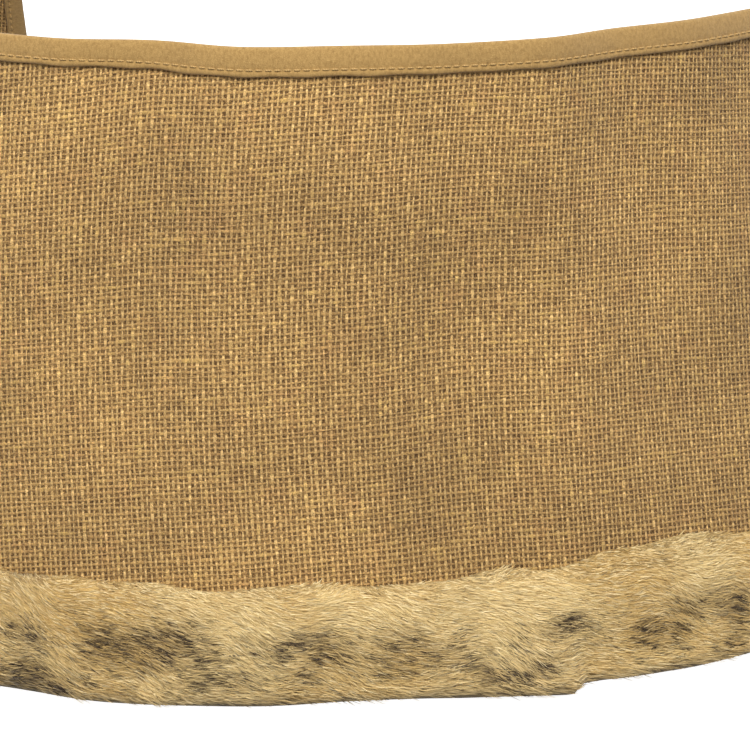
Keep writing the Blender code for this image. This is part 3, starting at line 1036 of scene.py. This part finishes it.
for side, (start, end) in PANELS.items():
    stations = stations_between(start, end, FELT_STEP)
    piece = swept(side + "_binding", FELT_PROFILE, stations, along_top, FELT_FINISH, "Felt")
    swing_or_ride(piece, side)
    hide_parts(side + "_top_binding")

# ---------------------------------------------------------------- Binding stitches
# Lockstitch in a thick polyester thread, one stitch after another along the groove.
# Each stitch is its own short arched strand whose two ends dive into the felt.
THREAD = 0.0008
STITCH_RISE = BINDING_FACE - 0.00012
STITCH_SHARE = 0.86  # the part of its pitch that one stitch fills
STITCH_ARCH = 0.00028
STITCH_DIVE = 0.00045
THREAD_TAN = srgb(206, 170, 106)
THREAD_SHADE_AND_WEAR = srgb(166, 130, 76)


def sewing_thread(shade):
    along, around = shade.map("Stitch")
    ply = ((along * 3.2 + around) * 2 * math.pi).sine() * 0.5 + 0.5
    worn = shade.noise(shade.solid_place(), 700.0, 2.0)
    # Painted shade with wear: the thread is drawn darker in the grooves between its plies, and
    # unevenly worn.
    colour = (ply * 0.7 + worn * 0.3).mix(THREAD_SHADE_AND_WEAR, THREAD_TAN)
    return colour, 0.5, ply, 0.00010, 0.2


THREAD_FINISH = finish_of("sewing_thread", sewing_thread)


def stitches(name, to_points, counts):
    """One arched strand for each stitch on the outer face, and the same again on the inner.
    to_points takes places along the line, in stitches, then metres sideways and outward."""
    along = np.linspace(-1, 1, 9)[None, :, None]
    angle = np.linspace(0, 2 * np.pi, 9)[None, None, :-1]
    rings, sides = along.size, angle.size
    thick = np.sqrt(np.maximum(1 - along**4, 0.02)) * THREAD / 2
    arch = (1 - along**2) * STITCH_ARCH - np.abs(along) ** 6 * STITCH_DIVE
    places = counts[:, None, None] + along * STITCH_SHARE / 2 + angle * 0
    sideways = np.cos(angle) * thick + places * 0
    outward = STITCH_RISE + arch + np.sin(angle) * thick + places * 0
    outside = to_points(places, sideways, outward)
    points = np.concatenate([outside, to_points(places, -sideways, -outward)], axis=0)
    faces = grid_faces(rings, sides, closed=2, copies=2 * len(counts))
    unrolled = np.meshgrid(np.linspace(0, 1, rings), np.linspace(0, 1, sides + 1), indexing="ij")
    unrolled = np.stack(unrolled, axis=-1).reshape(-1, 2)
    corners = np.tile(unrolled[grid_faces(rings, sides + 1)], (2 * len(counts), 1, 1))
    return sheet_mesh(name, points.reshape(-1, 3), faces, {"Stitch": corners}, THREAD_FINISH)


def in_the_groove(places, sideways, outward):
    azimuth = np.degrees(places * STITCH_PITCH / TOP_RADIUS)
    return on_band(azimuth, GROOVE * turned_in(azimuth) + sideways, outward)


for side, (start, end) in PANELS.items():
    first_count = math.ceil(math.radians(start) * TOP_RADIUS / STITCH_PITCH)
    last_count = math.floor(math.radians(end) * TOP_RADIUS / STITCH_PITCH)
    row = stitches(side + "_stitches", in_the_groove, np.arange(first_count, last_count) + 0.5)
    swing_or_ride(row, side)
    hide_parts(side + "_binding_stitches")

# ---------------------------------------------------------------- End bindings
# The same felt folded over the two upright ends of the band, from binding to fur.
# Sewn through with the same stitches, visible on both faces.
END_TOP = BINDING_WIDTH + CLEARANCE
END_FOOT = FUR_START - CLEARANCE
for side, edge, inward in (("left", LEFT_END, 1), ("right", RIGHT_END, -1)):

    def down_the_end(places, first, second):
        run, offset = puffed(first, second, places / STITCH_PITCH, 61)
        return on_band(past_edge(edge, inward * run, places), places, offset)

    drops = np.linspace(END_TOP, END_FOOT, 330)
    upright = swept(side + "_end_felt", FELT_PROFILE, drops, down_the_end, FELT_FINISH, "Felt")
    if inward > 0:
        upright.data.flip_normals()
    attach(upright, side + "_wing")
    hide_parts(side + "_end_binding")

    def down_the_groove(places, sideways, outward):
        drop = places * STITCH_PITCH
        return on_band(past_edge(edge, inward * (GROOVE + sideways), drop), drop, outward)

    counts = np.arange(math.ceil(END_TOP / STITCH_PITCH), math.floor(END_FOOT / STITCH_PITCH)) + 0.5
    end_row = stitches(side + "_end_thread", down_the_groove, counts)
    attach(end_row, side + "_wing")
    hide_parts(side + "_end_stitches")

# ---------------------------------------------------------------- Hook and loop strips
# Two short pieces of hook tape outside the right end, and two of loop tape inside the left.
# Each is a woven tape with plain edges, and a field of fine hooks or soft loops between them.
STRIP_LENGTH = 0.050
STRIP_HEIGHT = 0.025
STRIP_INSET = 0.007
STRIP_THICKNESS = 0.0016
FASTENER_TAN = srgb(176, 144, 96)
FASTENER_DARK = srgb(128, 98, 60)


def fastener_tape(shade):
    where = shade.solid_place()
    loops = shade.noise(where, 1300.0, 3.0, 0.7)
    patch = shade.noise(where, 90.0, 2.0)
    colour = loops.spread(0.35, 0.65).mix(FASTENER_DARK, FASTENER_TAN).lit(patch * 0.3 + 0.85)
    return colour, 0.8, loops, 0.0004, 0.2


FASTENER_FINISH = finish_of("hook_and_loop_tape", fastener_tape)

NAP_HEIGHT = 0.0008
NAP_BORDER = 0.0016
HOOK_PATH = ((0.0, 0.0), (0.0, 0.55), (0.14, 0.88), (0.40, 0.96), (0.56, 0.66))
LOOP_PATH = ((-0.42, 0.0), (-0.58, 0.52), (0.0, 0.98), (0.58, 0.52), (0.42, 0.0))
NAPS = {  # each strand's path, how many, how thick, and how far they turn either way in radians
    "hook": (HOOK_PATH, 900, 0.00020, 0.1),
    "loop": (LOOP_PATH, 1900, 0.00014, 3.1),
}


def nap(name, path, count, thick, twist, seed, to_points):
    """A field of small bent strands standing on a tape: hooks in rows or loops at every angle."""
    draw = np.random.default_rng(seed)
    path = np.array(path) * NAP_HEIGHT
    columns = int(math.sqrt(count * STRIP_LENGTH / STRIP_HEIGHT))
    rows = count // columns
    grid = np.stack(np.meshgrid(np.arange(columns), np.arange(rows)), axis=-1).reshape(-1, 2)
    shake = 0.15 if twist < 1 else 0.5
    spot = (grid + 0.5 + draw.uniform(-shake, shake, grid.shape)) / (columns, rows)
    run = NAP_BORDER + spot[:, 0] * (STRIP_LENGTH - 2 * NAP_BORDER)
    fall = NAP_BORDER + spot[:, 1] * (STRIP_HEIGHT - 2 * NAP_BORDER) - STRIP_HEIGHT / 2
    angle = draw.uniform(-twist, twist, len(spot))
    tall = draw.uniform(0.8, 1.0, len(spot))
    ahead = unit(np.gradient(path, axis=0), 0.0)
    turn = np.radians([45, 135, 225, 315])
    lean_over = path[:, None, 0] + np.cos(turn) * thick / 2 * -ahead[:, None, 1]
    rise = path[:, None, 1] + np.cos(turn) * thick / 2 * ahead[:, None, 0]
    aside = np.broadcast_to(np.sin(turn) * thick / 2, lean_over.shape)
    cosine = np.cos(angle)[:, None, None]
    sine = np.sin(angle)[:, None, None]
    points = to_points(
        run[:, None, None] + lean_over * cosine - aside * sine,
        fall[:, None, None] + lean_over * sine + aside * cosine,
        rise * tall[:, None, None],
    )
    faces = grid_faces(len(path), len(turn), closed=2, copies=len(spot))
    spots = np.stack([run, fall + STRIP_HEIGHT / 2], axis=1)
    spots = np.repeat(spots, len(path) * len(turn), axis=0)
    return sheet_mesh(name, points.reshape(-1, 3), faces, {"Tape": spots[faces]}, FASTENER_FINISH)


def dip(inset):
    """How far a strip drops to lie on the burlap where it has run off the end felt."""
    past_felt = np.clip((inset - BINDING_WIDTH) / 0.006, 0.0, 1.0)
    return (BINDING_FACE + CLEARANCE - BURLAP / 2) * past_felt


ENDS = (("left", LEFT_END, 1, -1, "loop"), ("right", RIGHT_END, -1, 1, "hook"))
for side, edge, inward, strip_side, kind in ENDS:
    for place_number, place in enumerate(("upper", "lower")):
        node = f"{side}_{kind}_strip_{place}"
        low_corner, high_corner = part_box(node)
        tape_middle = (low_corner.z + high_corner.z) / 2
        back = strip_side * (BINDING_FACE + CLEARANCE)
        outer = strip_side * (BINDING_FACE + CLEARANCE + STRIP_THICKNESS)
        middle_offset = (back + outer) / 2
        middle_height = tape_middle - settle - middle_offset * math.sin(FLARE)
        middle_drop = BAND_DROP - middle_height / math.cos(FLARE)
        tape_face = outer - strip_side * NAP_HEIGHT
        profile = rounded_strip(STRIP_INSET, STRIP_INSET + STRIP_LENGTH, back, tape_face)

        def down_the_strip(places, first, second):
            laid = second - strip_side * dip(first)
            return on_band(past_edge(edge, inward * first, places), places, laid)

        def on_the_tape(run, fall, rise):
            drop = middle_drop + fall
            azimuth = past_edge(edge, inward * (STRIP_INSET + run), drop)
            laid = tape_face + strip_side * (rise - dip(STRIP_INSET + run))
            return on_band(azimuth, drop, laid)

        drops = np.linspace(middle_drop - STRIP_HEIGHT / 2, middle_drop + STRIP_HEIGHT / 2, 26)
        tape_name = f"{side}_{kind}_tape_{place}"
        tape = swept(tape_name, profile, drops, down_the_strip, FASTENER_FINISH, "Tape")
        strands_name = f"{side}_{kind}s_{place}"
        strands = nap(strands_name, *NAPS[kind], 70 + place_number, on_the_tape)
        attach(tape, side + "_wing")
        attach(strands, side + "_wing")
        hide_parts(node)
